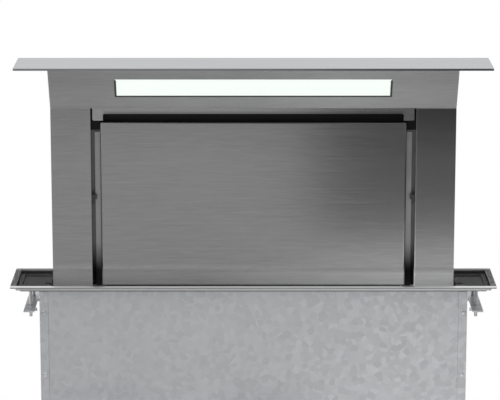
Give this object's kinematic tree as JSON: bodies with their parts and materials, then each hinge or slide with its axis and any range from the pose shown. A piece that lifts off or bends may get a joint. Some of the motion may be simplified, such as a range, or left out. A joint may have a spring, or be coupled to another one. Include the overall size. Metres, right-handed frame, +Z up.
{
  "type": "downdraft vent",
  "caption": "Downdraft vent: a motor-raised stainless column with a leaning light head and a suction panel, in a flush worktop tray over a shaft with its blower.",
  "frame": {"origin": "on the worktop's upper surface, at the centre of the cut-out that takes the tray", "axes": "+X to the right, -Y to the front (towards the hob), +Z up; the column is raised at rest"},
  "size_m": [0.9, 0.293, 1.1257],
  "materials": {
    "stainless": "brushed along X",
    "galvanised": "zinc-coated sheet, faint spangle",
    "zinc": "bright zinc plate",
    "ground_steel": "ground steel",
    "aluminium": "mill finish",
    "motor_black": "satin black",
    "gearbox_metal": "die cast",
    "belt_rubber": "matt",
    "foam": "closed-cell foam",
    "bronze": "turned",
    "black_plastic": "moulded, matt",
    "wheel_plastic": "moulded, matt",
    "lamp_opal": "opal, lit from behind"
  },
  "bodies": {
    "shaft": {"worktop_frame": "stainless", "frame_gasket": "foam", "worktop_clamps": "galvanised", "clamp_studs": "zinc", "clamp_nuts": "zinc", "housing_back": "galvanised", "housing_front": "galvanised", "housing_side_left": "galvanised", "housing_side_right": "galvanised", "housing_floor": "galvanised", "housing_screws": "zinc", "guide_rail_left": "aluminium", "guide_rail_right": "aluminium", "limit_switches": "black_plastic", "support_bracket_left": "galvanised", "support_bracket_right": "galvanised", "screw_bearings": "ground_steel", "lift_motor": "motor_black", "lift_gearbox": "gearbox_metal", "sync_belt": "belt_rubber", "motor_belt": "belt_rubber", "drive_cover": "galvanised", "blower_scroll": "galvanised", "scroll_front_plate": "galvanised", "blower_inlet_ring": "black_plastic", "blower_motor": "motor_black", "outlet_collar": "black_plastic", "damper_pin": "ground_steel", "control_box": "galvanised", "control_box_lid": "galvanised", "cable_gland": "black_plastic"},
    "column": {"top_plate": "stainless", "head_shell": "stainless", "lamp_diffuser": "lamp_opal", "lamp_tray": "galvanised", "pillar_left": "stainless", "pillar_right": "stainless", "column_back": "stainless", "lower_front": "stainless", "column_brace": "stainless", "lead_nuts": "bronze", "guide_shoes": "black_plastic", "intake_baffle": "stainless", "filter_frame": "aluminium", "grease_filter_left": "aluminium", "grease_filter_right": "aluminium", "panel_catches": "black_plastic"},
    "panel": {"suction_panel": "stainless", "panel_hinge_pins": "stainless"},
    "fan": {"impeller": "wheel_plastic", "fan_shaft": "ground_steel"},
    "flap_left": {"damper_flap_left": "black_plastic"},
    "flap_right": {"damper_flap_right": "black_plastic"},
    "screw_left": {"lead_screw_left": "ground_steel", "screw_pulley_left": "aluminium"},
    "screw_right": {"lead_screw_right": "ground_steel", "screw_pulley_right": "aluminium"},
    "drive": {"motor_pulley": "aluminium"}
  },
  "joints": [
    {"name": "column_lift", "type": "slide", "parent": "shaft", "child": "column", "axis": [0, 0, 1], "range_m": [-0.41, 0]},
    {"name": "panel_tilt", "type": "hinge", "parent": "column", "child": "panel", "pos_m": [0, 0.0095, -0.007], "axis": [1, 0, 0], "range_deg": [0, 8]},
    {"name": "fan_spin", "type": "hinge", "parent": "shaft", "child": "fan", "pos_m": [0, -0.1085, -0.42], "axis": [0, 1, 0], "continuous": true},
    {"name": "flap_left_swing", "type": "hinge", "parent": "shaft", "child": "flap_left", "pos_m": [0.0915, -0.132, -0.646], "axis": [0, -1, 0], "range_deg": [0, 70], "stiffness_Nm_per_rad": 0.01, "springref_deg": -34.38},
    {"name": "flap_right_swing", "type": "hinge", "parent": "shaft", "child": "flap_right", "pos_m": [0.0915, -0.132, -0.646], "axis": [0, 1, 0], "range_deg": [0, 70], "stiffness_Nm_per_rad": 0.01, "springref_deg": -34.38},
    {"name": "screw_left_spin", "type": "hinge", "parent": "shaft", "child": "screw_left", "pos_m": [-0.3385, 0.026, -0.5], "axis": [0, 0, 1], "continuous": true},
    {"name": "screw_right_spin", "type": "hinge", "parent": "shaft", "child": "screw_right", "pos_m": [0.3385, 0.026, -0.5], "axis": [0, 0, 1], "continuous": true},
    {"name": "drive_spin", "type": "hinge", "parent": "shaft", "child": "drive", "pos_m": [-0.245, 0, -0.7], "axis": [0, 0, 1], "continuous": true}
  ],
  "couplings": [
    {"joint": "screw_left_spin", "follows": "column_lift", "rad_per_m": -392.7},
    {"joint": "screw_right_spin", "follows": "column_lift", "rad_per_m": -392.7},
    {"joint": "drive_spin", "follows": "column_lift", "rad_per_m": -392.7}
  ]
}
